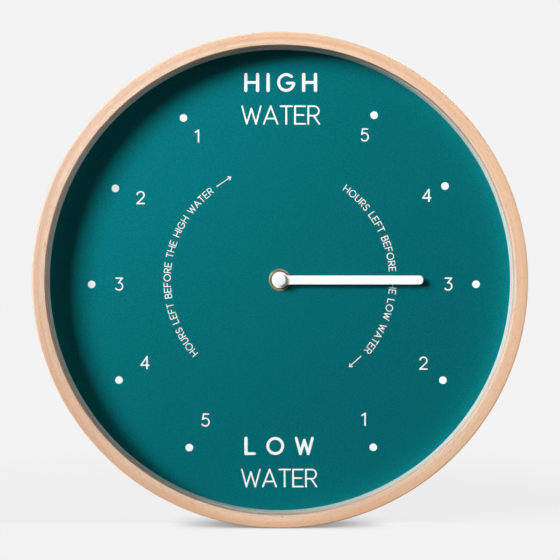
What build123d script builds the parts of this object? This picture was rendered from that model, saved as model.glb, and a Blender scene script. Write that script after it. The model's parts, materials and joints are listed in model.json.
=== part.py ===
from build123d import *
import math
import os

# All lengths are millimetres. Every piece is drawn as the viewer sees the clock: x to the right,
# y up and z out of the wall, with the wall plane at zero and the hand's arbor on the z axis.
# write() then stands the piece up, so that the dial faces -Y and +Z is up.

# Wooden hoop
hoop_radius = 150.0
hoop_wall = 5.5
lip_width = 7.9
lip_depth = 7.5
front_round = 2.0
lip_bevel = 0.4
back_bevel = 0.8

# Pane, lining and dial, from the lip towards the wall
drop_in_clearance = 0.3
glass_thickness = 2.0
lining_depth = 10.5
plate_thickness = 0.8
board_thickness = 3.0
rubber_thickness = 1.0
rubber_radius = 9.0

# Retaining brackets
bracket_count = 4
first_bracket_angle = 45.0
bracket_sheet = 1.2
bracket_width = 15.0
bracket_wall_leg = 14.0
bracket_board_leg = 12.0
bracket_bend = 0.6
bracket_corner = 2.5
seat_clearance = 0.05
hanger_clearance = 0.15

# Wood screws
screw_radius = 1.5
screw_length = 5.0
screw_head_radius = 3.0
screw_head_height = 1.8
screw_hole_clearance = 0.25
pilot_clearance = 0.05

# Hanger
hanger_sheet = 1.2
hanger_width = 40.0
hanger_flange = 13.0
hanger_setback = 2.0
hanger_corner = 4.0
hanger_screw_inset = 7.0
keyhole_radius = 4.5
keyhole_drop = 20.0
keyhole_margin = 3.5
keyhole_slot = 4.6
keyhole_rise = 9.0

# Battery and its contacts
battery_radius = 7.25
battery_length = 50.5
battery_nub_radius = 2.75
battery_nub = 1.2
battery_bevel = 0.6
battery_clearance = 0.3
battery_recess = 0.2
contact_room = 1.25
contact_sheet = 0.4
contact_strip = 3.0
contact_pad = 9.0
contact_slot_clearance = 0.3

# Movement case and cover
case_wall = 1.5
case_front_wall = 1.2
case_corner = 3.0
case_rear_setback = 4.0
divider = 1.2
divider_margin = 1.8
pillar_width = 4.2
pillar_gap = 1.0
notch_width = 16.0
notch_depth = 5.0
cover_thickness = 1.2
cover_clearance = 0.1
fit_clearance = 0.05

# Threaded neck and what it clamps
neck_radius = 3.95
neck_proud = 3.0
neck_flange_lip = 1.05
neck_flange = 0.4
neck_hole_clearance = 0.25
washer_radius = 6.8
washer_sheet = 0.4
washer_rim_width = 0.45
washer_rim_height = 0.35
nut_wall = 0.55
nut_height = 2.0

# Tide pipe, hand and cap
running_clearance = 0.05
pipe_radius = 2.5
collet_lift = 0.4
collet_flange = 0.8
collet_flange_lip = 0.7
collet_wall = 0.7
hand_sheet = 0.8
hand_length = 88.0
hand_width = 5.5
hand_hub_radius = 5.0
hand_tip_round = 2.4
hand_hub_blend = 2.4
cap_radius = 3.9
cap_height = 2.4
cap_edge = 1.1
cap_peg_radius = 1.5
cap_peg_length = 3.0

# Motion work: cannon pinion, intermediate wheel with its pinion, tide wheel and setting pinion.
# 41/11 * 40/12 turns of the cannon pinion, 12.424, make one turn of the hand, which is one tide.
motion_module = 0.4
cannon_teeth = 11
intermediate_teeth = 41
intermediate_pinion_teeth = 12
tide_teeth = 40
setting_teeth = 12
intermediate_angle = 100.0
setting_angle = 165.0
motion_wheel_width = 0.9

# Going train: rotor pinion, fifth, fourth, third and centre wheels, 1800 to 1 in all
train_module = 0.3
rotor_teeth = 6
fifth_teeth = 30
fourth_teeth = 36
third_teeth = 40
centre_teeth = 54
train_pinion_teeth = 6
third_angle = 20.0
fourth_angle = 10.0
fifth_angle = 100.0
rotor_angle = 95.0
train_wheel_width = 0.6
pinion_overhang = 0.3

# Shape of a tooth: root and tip in modules from the pitch circle, half widths in tooth pitches
dedendum_share = 1.15
addendum_share = 0.8
root_half_share = 0.28
tip_half_share = 0.11

# Arbors and bearings
heavy_arbor = 0.8
fine_arbor = 0.4
rotor_arbor = 0.35
stem_radius = 1.5
pivot_depth = 0.6
pivot_end_clearance = 0.2
layer_clearance = 0.3
layer_count = 6

# Setting knob
knob_radius = 5.0
knob_height = 2.2
knob_gap = 0.5
knob_grips = 24
knob_grip_depth = 0.4

# Stepping motor
magnet_radius = 2.2
magnet_height = 2.4
air_gap = 0.45
stator_sheet = 0.8
pole_width = 0.95
stator_arm = 3.0
stator_gap = 1.6
core_height = 1.0
core_width = 2.0
coil_radius = 3.0
coil_flange = 0.8
coil_former = 3.2
coil_gap = 0.3
coil_headroom = 0.9
post_width = 2.4

# Circuit board
circuit_sheet = 0.8
circuit_width = 10.0
circuit_gap = 1.6
circuit_lift = 4.2
circuit_post_width = 2.2
circuit_post_share = 0.2
crystal_radius = 1.0
crystal_length = 6.0
chip_radius = 2.6
chip_height = 1.0
chip_bevel = 0.5

# How far a cutting tool runs past the face that it cuts
overrun = 1.0

# Radii that follow from the hoop, the neck and the pipe
lip_radius = hoop_radius - lip_width
rebate_radius = hoop_radius - hoop_wall
disc_radius = rebate_radius - drop_in_clearance
neck_flange_radius = neck_radius + neck_flange_lip
collet_radius = pipe_radius + collet_wall
collet_flange_radius = collet_radius + collet_flange_lip

# Planes of the stack, from the rear of the movement, which is as deep as its battery, to the lip
cover_front = case_rear_setback + cover_thickness
battery_z = case_rear_setback + battery_recess + battery_radius
chamber_front = battery_z + battery_radius + battery_clearance
flange_back = chamber_front - neck_flange
case_front = chamber_front + case_front_wall
board_back = case_front + rubber_thickness
plate_back = board_back + board_thickness
plate_front = plate_back + plate_thickness
glass_back = plate_front + lining_depth
glass_front = glass_back + glass_thickness
hoop_depth = glass_front + lip_depth

# Planes of the neck, hand and cap
neck_top = plate_front + neck_proud
collet_back = neck_top + collet_lift
hand_back = collet_back + collet_flange
hand_front = hand_back + hand_sheet

# Front planes of the six layers of wheels, from the tide wheel back to the fifth wheel
layer_pitch = (flange_back - cover_front) / layer_count
tide_layer = flange_back - layer_clearance
motion_layer = tide_layer - layer_pitch
centre_layer = motion_layer - layer_pitch
third_layer = centre_layer - layer_pitch
fourth_layer = third_layer - layer_pitch
fifth_layer = fourth_layer - layer_pitch

# Where arbors begin and end in their bearings
arbor_back = cover_front - pivot_depth
arbor_front = chamber_front + pivot_depth - pivot_end_clearance

STANDING = (Align.CENTER, Align.CENTER, Align.MIN)


# Stands a piece up and saves it.
def write(name, shape):
    export_step(Rot(90, 0, 0) * shape, f"parts/{name}.step")


def disc(radius, back, front, place=(0, 0)):
    return Pos(place[0], place[1], back) * Cylinder(radius, front - back, align=STANDING)


def ring(outer, inner, back, front, place=(0, 0)):
    return disc(outer, back, front, place) - disc(inner, back - overrun, front + overrun, place)


def block(left, right, low, high, back, front):
    middle = Pos((left + right) / 2, (low + high) / 2, back)
    return middle * Box(right - left, high - low, front - back, align=STANDING)


# A square post, by the place of its middle.
def post(width, back, front, place):
    return Pos(place[0], place[1], back) * Box(width, width, front - back, align=STANDING)


# A round bar across the clock, along x from one end to the other.
def cross_bar(radius, left, right, y, z):
    return Pos(left, y, z) * Rot(0, 90, 0) * Cylinder(radius, right - left, align=STANDING)


# A round bar that points away from the arbor, from one distance to another.
def radial_bar(radius, near, far, angle, z):
    return Rot(0, 0, angle) * cross_bar(radius, near, far, 0, z)


# The corner of a flat section that lies nearest to a place.
def corner_near(section, place):
    return section.vertices().sort_by_distance((place[0], place[1], 0))[0]


def round_corner(section, place, radius):
    return fillet(corner_near(section, place), radius)


def step_along(start, distance, angle):
    turned = math.radians(angle)
    return (start[0] + distance * math.cos(turned), start[1] + distance * math.sin(turned))


def centre_distance(module, teeth, other_teeth):
    return module * (teeth + other_teeth) / 2


# The turn of the second gear that puts its gap at the first gear's tooth, on the line of centres.
def meshed_phase(line_angle, teeth, phase, other_teeth):
    past_tooth = ((line_angle - phase) * teeth / 360) % 1
    return line_angle + 180 - (0.5 - past_tooth) * 360 / other_teeth


def root_radius(module, teeth):
    return module * (teeth / 2 - dedendum_share)


def tip_radius(module, teeth):
    return module * (teeth / 2 + addendum_share)


# A gear with straight flanks and narrow tips.
def gear(teeth, module, phase, back, front, place):
    pitch_angle = 360 / teeth
    flank = [(root_radius(module, teeth), root_half_share), (tip_radius(module, teeth), tip_half_share)]
    points = []
    for tooth in range(teeth):
        middle = phase + tooth * pitch_angle
        points += [step_along(place, radius, middle - half * pitch_angle) for radius, half in flank]
        points += [step_along(place, radius, middle + half * pitch_angle) for radius, half in reversed(flank)]
    face = make_face(Polyline(*points, close=True))
    return Pos(0, 0, back) * extrude(face, front - back)


# The arbors, each one centre distance from the one that it meshes with
centre_place = (0, 0)
intermediate_distance = centre_distance(motion_module, tide_teeth, intermediate_pinion_teeth)
intermediate_place = step_along(centre_place, intermediate_distance, intermediate_angle)
setting_distance = centre_distance(motion_module, intermediate_teeth, setting_teeth)
setting_place = step_along(intermediate_place, setting_distance, setting_angle)
third_distance = centre_distance(train_module, centre_teeth, train_pinion_teeth)
third_place = step_along(centre_place, third_distance, third_angle)
fourth_distance = centre_distance(train_module, third_teeth, train_pinion_teeth)
fourth_place = step_along(third_place, fourth_distance, fourth_angle)
fifth_distance = centre_distance(train_module, fourth_teeth, train_pinion_teeth)
fifth_place = step_along(fourth_place, fifth_distance, fifth_angle)
rotor_distance = centre_distance(train_module, fifth_teeth, rotor_teeth)
rotor_place = step_along(fifth_place, rotor_distance, rotor_angle)

# The turn of each gear at rest, from the gear that it meshes with
tide_phase = 0
intermediate_phase = meshed_phase(intermediate_angle, tide_teeth, tide_phase, intermediate_pinion_teeth)
cannon_phase = meshed_phase(intermediate_angle + 180, intermediate_teeth, intermediate_phase, cannon_teeth)
setting_phase = meshed_phase(setting_angle, intermediate_teeth, intermediate_phase, setting_teeth)
centre_phase = 0
third_phase = meshed_phase(third_angle, centre_teeth, centre_phase, train_pinion_teeth)
fourth_phase = meshed_phase(fourth_angle, third_teeth, third_phase, train_pinion_teeth)
fifth_phase = meshed_phase(fifth_angle, fourth_teeth, fourth_phase, train_pinion_teeth)
rotor_phase = meshed_phase(rotor_angle, fifth_teeth, fifth_phase, rotor_teeth)

# Every arbor that turns in both the case and the cover, by place and radius
through_arbors = [
    (intermediate_place, heavy_arbor),
    (third_place, fine_arbor),
    (fourth_place, fine_arbor),
    (fifth_place, fine_arbor),
    (rotor_place, rotor_arbor),
]

# Stepping motor, in front of the fifth wheel
magnet_back = fifth_layer + pinion_overhang + layer_clearance
magnet_front = magnet_back + magnet_height
stator_back = (magnet_back + magnet_front - stator_sheet) / 2
stator_front = stator_back + stator_sheet
pole_reach = magnet_radius + air_gap + pole_width
stator_low = rotor_place[1] - pole_reach
stator_high = rotor_place[1] + pole_reach
core_front = stator_front + core_height
core_z = (stator_front + core_front) / 2
coil_y = stator_high + coil_gap + coil_radius
arm_top = coil_y + stator_arm / 2

# The movement case seen from the front: a bay for the battery below, a chamber for the train above.
# The chamber holds the circuit board to the left of the setting pinion, and is no narrower than the bay.
train_left = setting_place[0] - tip_radius(motion_module, setting_teeth)
train_half_width = circuit_gap + circuit_width + fit_clearance - train_left
bay_half_width = battery_length / 2 + contact_room
chamber_half_width = max(bay_half_width, train_half_width)
chamber_floor = -train_module * centre_teeth / 2 - train_module - divider_margin
chamber_top = coil_y + coil_radius + coil_headroom
bay_top = chamber_floor - divider
bay_floor = bay_top - 2 * (battery_radius + battery_clearance)
battery_y = (bay_top + bay_floor) / 2
case_half_width = chamber_half_width + case_wall
case_bottom = bay_floor - case_wall
case_top = chamber_top + case_wall

# The yoke and its coil, between the setting stem and the pillar on the right
stator_left = setting_place[0] + stem_radius + stator_gap
stator_right = chamber_half_width - pillar_width - stator_gap
coil_left = stator_left + stator_arm + coil_gap
coil_right = stator_right - stator_arm - coil_gap
post_places = [(stator_left + stator_arm / 2, coil_y), (stator_right - stator_arm / 2, coil_y)]

# Circuit board, beside the left wall of the chamber and below the pillar there
circuit_left = fit_clearance - chamber_half_width
circuit_right = circuit_left + circuit_width
circuit_x = (circuit_left + circuit_right) / 2
circuit_low = chamber_floor + circuit_lift
circuit_high = chamber_top - pillar_width - circuit_gap
circuit_y = (circuit_low + circuit_high) / 2
circuit_front = chamber_front - circuit_lift
circuit_back = circuit_front - circuit_sheet
post_inset = (circuit_high - circuit_low) * circuit_post_share
circuit_post_places = [(circuit_x, circuit_low + post_inset), (circuit_x, circuit_high - post_inset)]

# Contact strips lie against the rear face of the circuit board.
strip_back = circuit_back - contact_strip
strip_end = circuit_low + contact_strip

# Pillars that carry the cover: two in the upper corners, one by the right wall above the contact
# strip, and one at the same height to the right of the circuit board
pillar_half = pillar_width / 2
pillar_y = chamber_floor + pillar_width
pillar_places = [
    (chamber_half_width - pillar_half, chamber_top - pillar_half),
    (pillar_half - chamber_half_width, chamber_top - pillar_half),
    (chamber_half_width - pillar_half, pillar_y),
    (circuit_right + pillar_gap + pillar_half, pillar_y),
]

# Flat legs meet the round hoop at their edges, so they sit in by the height of the arc behind them.
bracket_outer = math.sqrt(rebate_radius**2 - (bracket_width / 2) ** 2) - seat_clearance
bracket_inner = bracket_outer - bracket_sheet
bracket_screw_z = board_back - bracket_wall_leg / 2
bracket_angles = [first_bracket_angle + turn * 360 / bracket_count for turn in range(bracket_count)]

# The hanger's flange is curved with the hoop, and its screw heads meet that curve at their edges.
hanger_outer = rebate_radius - hanger_clearance
hanger_inner = hanger_outer - hanger_sheet
hanger_drop = keyhole_drop + keyhole_radius + keyhole_margin
hanger_front = hanger_setback + hanger_sheet
hanger_seat = math.sqrt(hanger_inner**2 - screw_head_radius**2) - seat_clearance
hanger_screw_z = hanger_front + (hanger_flange - hanger_sheet) / 2
hanger_screw_turn = math.degrees(math.asin((hanger_width / 2 - hanger_screw_inset) / rebate_radius))
hanger_screw_angles = [90 - hanger_screw_turn, 90 + hanger_screw_turn]


def wood_hoop():
    outline = Polyline(
        (rebate_radius, 0),
        (hoop_radius, 0),
        (hoop_radius, hoop_depth),
        (lip_radius, hoop_depth),
        (lip_radius, glass_front),
        (rebate_radius, glass_front),
        close=True,
    )
    section = make_face(outline)
    section = round_corner(section, (hoop_radius, hoop_depth), front_round)
    section = chamfer(corner_near(section, (lip_radius, hoop_depth)), lip_bevel)
    section = chamfer(corner_near(section, (hoop_radius, 0)), back_bevel)
    hoop = Rot(90, 0, 0) * revolve(section, Axis.Y)
    pilot = screw_radius + pilot_clearance
    near = rebate_radius - overrun
    for angle in bracket_angles:
        far = bracket_inner + screw_length + pilot_clearance
        hoop -= radial_bar(pilot, near, far, angle, bracket_screw_z)
    for angle in hanger_screw_angles:
        far = hanger_seat + screw_length + pilot_clearance
        hoop -= radial_bar(pilot, near, far, angle, hanger_screw_z)
    return hoop


def front_glass():
    return disc(disc_radius, glass_back, glass_front)


def lining_ring():
    return ring(disc_radius, lip_radius, plate_front, glass_back)


def dial_plate():
    return ring(disc_radius, neck_radius + neck_hole_clearance, plate_back, plate_front)


def dial_board():
    return ring(disc_radius, neck_radius + neck_hole_clearance, board_back, plate_back)


def rubber_washer():
    return ring(rubber_radius, neck_radius + neck_hole_clearance, case_front, board_back)


# One sheet angle, with its wall leg along the hoop and its other leg against the board.
def retaining_bracket(angle):
    outline = Polyline(
        (bracket_outer, board_back),
        (bracket_outer, board_back - bracket_wall_leg),
        (bracket_inner, board_back - bracket_wall_leg),
        (bracket_inner, board_back - bracket_sheet),
        (bracket_outer - bracket_board_leg, board_back - bracket_sheet),
        (bracket_outer - bracket_board_leg, board_back),
        close=True,
    )
    section = make_face(outline)
    section = round_corner(section, (bracket_outer, board_back), bracket_sheet + bracket_bend)
    section = round_corner(section, (bracket_inner, board_back - bracket_sheet), bracket_bend)
    angle_piece = Rot(90, 0, 0) * extrude(section, bracket_width / 2, both=True)
    wall_leg_end = angle_piece.edges().filter_by(Axis.X).group_by(Axis.Z)[0]
    board_leg_end = angle_piece.edges().filter_by(Axis.Z).group_by(Axis.X)[0]
    angle_piece = chamfer(wall_leg_end + board_leg_end, bracket_corner)
    hole = screw_radius + screw_hole_clearance
    angle_piece -= radial_bar(hole, bracket_inner - overrun, bracket_outer + overrun, 0, bracket_screw_z)
    return Rot(0, 0, angle) * angle_piece


# A wood screw, driven outwards, whose head sits at one distance from the arbor.
def wood_screw(seat, angle, z):
    head = radial_bar(screw_head_radius, seat - screw_head_height, seat, angle, z)
    return head + radial_bar(screw_radius, seat, seat + screw_length, angle, z)


def retaining_brackets():
    return Compound([retaining_bracket(angle) for angle in bracket_angles])


def bracket_screws():
    return Compound([wood_screw(bracket_inner, angle, bracket_screw_z) for angle in bracket_angles])


def hanger_screws():
    return Compound([wood_screw(hanger_seat, angle, hanger_screw_z) for angle in hanger_screw_angles])


def hanger_bracket():
    half = hanger_width / 2
    plate = block(-half, half, hanger_outer - hanger_drop, hanger_outer, hanger_setback, hanger_front)
    plate = fillet(plate.edges().filter_by(Axis.Z).group_by(Axis.Y)[0], hanger_corner)
    plate &= disc(hanger_outer, hanger_setback, hanger_front)
    flange = ring(hanger_outer, hanger_inner, hanger_setback, hanger_setback + hanger_flange)
    flange &= block(-half, half, 0, hanger_outer, hanger_setback, hanger_setback + hanger_flange)
    bracket = plate + flange
    entry = hanger_outer - keyhole_drop
    slot_half = keyhole_slot / 2
    back = hanger_setback - overrun
    front = hanger_front + overrun
    bracket -= disc(keyhole_radius, back, front, (0, entry))
    bracket -= block(-slot_half, slot_half, entry, entry + keyhole_rise, back, front)
    bracket -= disc(slot_half, back, front, (0, entry + keyhole_rise))
    hole = screw_radius + screw_hole_clearance
    for angle in hanger_screw_angles:
        bracket -= radial_bar(hole, hanger_inner - overrun, hanger_outer + overrun, angle, hanger_screw_z)
    return bracket


def movement_case():
    case = block(-case_half_width, case_half_width, case_bottom, case_top, case_rear_setback, case_front)
    case = fillet(case.edges().filter_by(Axis.Z), case_corner)
    rear = case_rear_setback - overrun
    case -= block(-chamber_half_width, chamber_half_width, chamber_floor, chamber_top, rear, chamber_front)
    case -= block(-bay_half_width, bay_half_width, bay_floor, bay_top, rear, chamber_front)
    notch = notch_width / 2
    notch_front = case_rear_setback + notch_depth
    case -= block(-notch, notch, case_bottom - overrun, bay_floor + overrun, rear, notch_front)
    for place in pillar_places:
        case += post(pillar_width, cover_front, chamber_front, place)
    for place in post_places:
        case += post(post_width, core_front, chamber_front, place)
    for place in circuit_post_places:
        case += post(circuit_post_width, circuit_front, chamber_front, place)
    case -= disc(neck_radius + fit_clearance, chamber_front - overrun, case_front + overrun)
    for place, radius in through_arbors + [(setting_place, heavy_arbor)]:
        case -= disc(radius + running_clearance, chamber_front - overrun, chamber_front + pivot_depth, place)
    for side in (-1, 1):
        outside = side * bay_half_width
        inside = side * (bay_half_width - contact_sheet - contact_slot_clearance)
        left, right = sorted((inside, outside))
        slot_back = strip_back - contact_slot_clearance
        slot_front = circuit_back + contact_slot_clearance
        case -= block(left, right, bay_top - overrun, chamber_floor + overrun, slot_back, slot_front)
    return case


def movement_cover():
    side = chamber_half_width - cover_clearance
    low = chamber_floor + cover_clearance
    high = chamber_top - cover_clearance
    cover = block(-side, side, low, high, case_rear_setback, cover_front)
    hole_back = arbor_back - pivot_end_clearance
    hole_front = cover_front + overrun
    for place, radius in through_arbors + [(centre_place, heavy_arbor)]:
        cover -= disc(radius + running_clearance, hole_back, hole_front, place)
    stem_hole = stem_radius + running_clearance
    return cover - disc(stem_hole, case_rear_setback - overrun, hole_front, setting_place)


def threaded_neck():
    neck = disc(neck_radius, chamber_front, neck_top) + disc(neck_flange_radius, flange_back, chamber_front)
    return neck - disc(pipe_radius + running_clearance, flange_back - overrun, neck_top + overrun)


# A dished washer: a flat ring with a raised rim.
def front_washer():
    flat_front = plate_front + washer_sheet
    flat = ring(washer_radius, neck_radius + neck_hole_clearance, plate_front, flat_front)
    rim_inner = washer_radius - washer_rim_width
    return flat + ring(washer_radius, rim_inner, flat_front, flat_front + washer_rim_height)


def hex_nut():
    seat = plate_front + washer_sheet
    hexagon = RegularPolygon(neck_radius + nut_wall, 6, major_radius=False)
    nut = Pos(0, 0, seat) * extrude(hexagon, nut_height)
    return nut - disc(neck_radius + fit_clearance, seat - overrun, seat + nut_height + overrun)


def tide_hand():
    blade = Pos(hand_length / 2, 0) * Rectangle(hand_length, hand_width)
    blade = fillet(blade.vertices().group_by(Axis.X)[-1], hand_tip_round)
    outline = blade + Circle(hand_hub_radius)
    neck_x = math.sqrt(hand_hub_radius**2 - (hand_width / 2) ** 2)
    for side in (-1, 1):
        outline = round_corner(outline, (neck_x, side * hand_width / 2), hand_hub_blend)
    outline -= Circle(collet_radius + fit_clearance)
    return Pos(0, 0, hand_back) * extrude(outline, hand_sheet)


def hand_collet():
    collet = disc(collet_flange_radius, collet_back, hand_back) + disc(collet_radius, hand_back, hand_front)
    return collet - disc(pipe_radius + fit_clearance, collet_back - overrun, hand_front + overrun)


# A low domed button on a peg.
def hand_cap():
    rise = cap_height - cap_edge
    dome_radius = (cap_radius**2 + rise**2) / (2 * rise)
    cap_top = hand_front + cap_height
    button = disc(cap_radius, hand_front, cap_top) & Pos(0, 0, cap_top - dome_radius) * Sphere(dome_radius)
    return button + disc(cap_peg_radius, hand_front - cap_peg_length, hand_front)


# The wheel and the pipe that carries the hand, bored for the centre arbor and for the cap's peg.
def tide_wheel():
    back = tide_layer - motion_wheel_width
    wheel = gear(tide_teeth, motion_module, tide_phase, back, tide_layer, centre_place)
    wheel += disc(pipe_radius, tide_layer, hand_front)
    wheel -= disc(heavy_arbor + running_clearance, back - overrun, hand_front)
    peg_end = hand_front - cap_peg_length - pivot_end_clearance
    return wheel - disc(cap_peg_radius + fit_clearance, peg_end, hand_front + overrun)


# A wheel with the pinion in front of it, moulded on one arbor.
def wheel_and_pinion(module, teeth, pinion_teeth, phase, width, layer, pinion_layer, arbor, place):
    wheel = gear(teeth, module, phase, layer - width, layer, place)
    wheel += gear(pinion_teeth, module, phase, layer, pinion_layer + pinion_overhang, place)
    return wheel + disc(arbor, arbor_back, arbor_front, place)


def intermediate_wheel():
    return wheel_and_pinion(
        motion_module,
        intermediate_teeth,
        intermediate_pinion_teeth,
        intermediate_phase,
        motion_wheel_width,
        motion_layer,
        tide_layer,
        heavy_arbor,
        intermediate_place,
    )


# The pinion that the centre arbor carries round by friction.
def cannon_pinion():
    back = centre_layer + layer_clearance
    front = motion_layer + pinion_overhang
    pinion = gear(cannon_teeth, motion_module, cannon_phase, back, front, centre_place)
    return pinion - disc(heavy_arbor + running_clearance, back - overrun, front + overrun)


# The knob behind the cover has a serrated edge. Its stem carries the setting pinion.
def setting_knob():
    knob_front = case_rear_setback - knob_gap
    knob_back = knob_front - knob_height
    points = []
    for step in range(2 * knob_grips):
        radius = knob_radius - knob_grip_depth * (step % 2)
        points.append(step_along(setting_place, radius, step * 180 / knob_grips))
    knob = Pos(0, 0, knob_back) * extrude(make_face(Polyline(*points, close=True)), knob_height)
    pinion_back = motion_layer - motion_wheel_width - pinion_overhang
    pinion_front = motion_layer + pinion_overhang
    knob += disc(stem_radius, knob_front, pinion_back, setting_place)
    knob += gear(setting_teeth, motion_module, setting_phase, pinion_back, pinion_front, setting_place)
    return knob + disc(heavy_arbor, pinion_front, arbor_front, setting_place)


def centre_wheel():
    back = centre_layer - train_wheel_width
    wheel = gear(centre_teeth, train_module, centre_phase, back, centre_layer, centre_place)
    return wheel + disc(heavy_arbor, arbor_back, case_front)


def train_wheel(teeth, phase, layer, pinion_layer, place):
    return wheel_and_pinion(
        train_module,
        teeth,
        train_pinion_teeth,
        phase,
        train_wheel_width,
        layer,
        pinion_layer,
        fine_arbor,
        place,
    )


def third_wheel():
    return train_wheel(third_teeth, third_phase, third_layer, centre_layer, third_place)


def fourth_wheel():
    return train_wheel(fourth_teeth, fourth_phase, fourth_layer, third_layer, fourth_place)


def fifth_wheel():
    return train_wheel(fifth_teeth, fifth_phase, fifth_layer, fourth_layer, fifth_place)


def rotor_pinion():
    back = fifth_layer - train_wheel_width - pinion_overhang
    pinion = gear(rotor_teeth, train_module, rotor_phase, back, fifth_layer + pinion_overhang, rotor_place)
    return pinion + disc(rotor_arbor, arbor_back, arbor_front, rotor_place)


def rotor_magnet():
    return ring(magnet_radius, rotor_arbor + fit_clearance, magnet_back, magnet_front, rotor_place)


# The laminated yoke: a bar round the rotor, two arms up to the coil, and the core through the coil.
def stator():
    bar = block(stator_left, stator_right, stator_low, stator_high, stator_back, stator_front)
    bar -= disc(magnet_radius + air_gap, stator_back - overrun, stator_front + overrun, rotor_place)
    left_arm = block(stator_left, stator_left + stator_arm, stator_high, arm_top, stator_back, stator_front)
    right_arm = block(stator_right - stator_arm, stator_right, stator_high, arm_top, stator_back, stator_front)
    core_low = coil_y - core_width / 2
    core_high = coil_y + core_width / 2
    core = block(stator_left, stator_right, core_low, core_high, stator_front, core_front)
    return bar + left_arm + right_arm + core


def coil_bobbin():
    half = coil_former / 2
    bobbin = block(coil_left, coil_right, coil_y - half, coil_y + half, core_z - half, core_z + half)
    bobbin += cross_bar(coil_radius, coil_left, coil_left + coil_flange, coil_y, core_z)
    bobbin += cross_bar(coil_radius, coil_right - coil_flange, coil_right, coil_y, core_z)
    bore_half_width = core_width / 2 + fit_clearance
    bore_half_height = core_height / 2 + fit_clearance
    left = coil_left - overrun
    right = coil_right + overrun
    low = coil_y - bore_half_width
    high = coil_y + bore_half_width
    return bobbin - block(left, right, low, high, core_z - bore_half_height, core_z + bore_half_height)


def coil_winding():
    left = coil_left + coil_flange + fit_clearance
    right = coil_right - coil_flange - fit_clearance
    inner = coil_former / 2 * math.sqrt(2) + fit_clearance
    winding = cross_bar(coil_radius - fit_clearance, left, right, coil_y, core_z)
    return winding - cross_bar(inner, left - overrun, right + overrun, coil_y, core_z)


def circuit_board():
    return block(circuit_left, circuit_right, circuit_low, circuit_high, circuit_back, circuit_front)


def quartz_crystal():
    x = circuit_right - 2 * crystal_radius
    y = circuit_high - 2 * crystal_radius - crystal_length
    can = Pos(x, y, circuit_back - crystal_radius) * Rot(-90, 0, 0)
    return can * Cylinder(crystal_radius, crystal_length, align=STANDING)


def chip_cover():
    blob = Cylinder(chip_radius, chip_height, align=STANDING)
    blob = chamfer(blob.faces().sort_by(Axis.Z)[0].edges(), chip_bevel)
    return Pos(circuit_x, circuit_y, circuit_back - chip_height) * blob


def battery():
    can_length = battery_length - battery_nub
    can = Cylinder(battery_radius, can_length, align=STANDING)
    can = chamfer(can.edges().filter_by(GeomType.CIRCLE), battery_bevel)
    can += disc(battery_nub_radius, can_length, battery_length)
    return Pos(-battery_length / 2, battery_y, battery_z) * Rot(0, 90, 0) * can


# A square pad against one end wall of the bay.
def contact_plate(left, right):
    half = contact_pad / 2
    return block(left, right, battery_y - half, battery_y + half, battery_z - half, battery_z + half)


# Pad, upright through the divider, run along the divider and riser to the circuit board.
def positive_contact():
    wall = bay_half_width
    inside = wall - contact_sheet
    run_front = chamber_floor + contact_sheet
    contact = contact_plate(inside, wall)
    contact += block(inside, wall, battery_y, run_front, strip_back, circuit_back)
    contact += block(circuit_x, wall, chamber_floor, run_front, strip_back, circuit_back)
    riser = circuit_x + contact_sheet
    return contact + block(circuit_x, riser, chamber_floor, strip_end, strip_back, circuit_back)


# Pad with a bowed leaf that presses on the battery, and an upright to the circuit board.
def negative_contact():
    wall = -bay_half_width
    inside = wall + contact_sheet
    contact = contact_plate(wall, inside)
    contact += block(wall, inside, battery_y, strip_end, strip_back, circuit_back)
    bow = contact_room - contact_sheet - battery_clearance
    low = battery_y - contact_pad / 2
    high = battery_y + contact_pad / 2
    outside_arc = ThreePointArc((inside, low), (inside + bow, battery_y), (inside, high))
    foot = 2 * contact_sheet
    inside_arc = ThreePointArc((inside, high - foot), (wall + bow, battery_y), (inside, low + foot))
    feet = [Line((inside, high), (inside, high - foot)), Line((inside, low + foot), (inside, low))]
    leaf = extrude(make_face([outside_arc, feet[0], inside_arc, feet[1]]), contact_strip)
    return contact + Pos(0, 0, battery_z - contact_strip / 2) * leaf


PIECES = [
    wood_hoop,
    front_glass,
    lining_ring,
    dial_plate,
    dial_board,
    retaining_brackets,
    bracket_screws,
    hanger_bracket,
    hanger_screws,
    movement_case,
    movement_cover,
    threaded_neck,
    rubber_washer,
    front_washer,
    hex_nut,
    tide_hand,
    hand_collet,
    hand_cap,
    tide_wheel,
    intermediate_wheel,
    cannon_pinion,
    setting_knob,
    centre_wheel,
    third_wheel,
    fourth_wheel,
    fifth_wheel,
    rotor_pinion,
    rotor_magnet,
    stator,
    coil_bobbin,
    coil_winding,
    circuit_board,
    quartz_crystal,
    chip_cover,
    battery,
    positive_contact,
    negative_contact,
]

os.makedirs("parts", exist_ok=True)
for piece in PIECES:
    write(piece.__name__, piece())
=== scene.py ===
import json
import math

import bpy
from mathutils import Matrix, Vector


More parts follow.
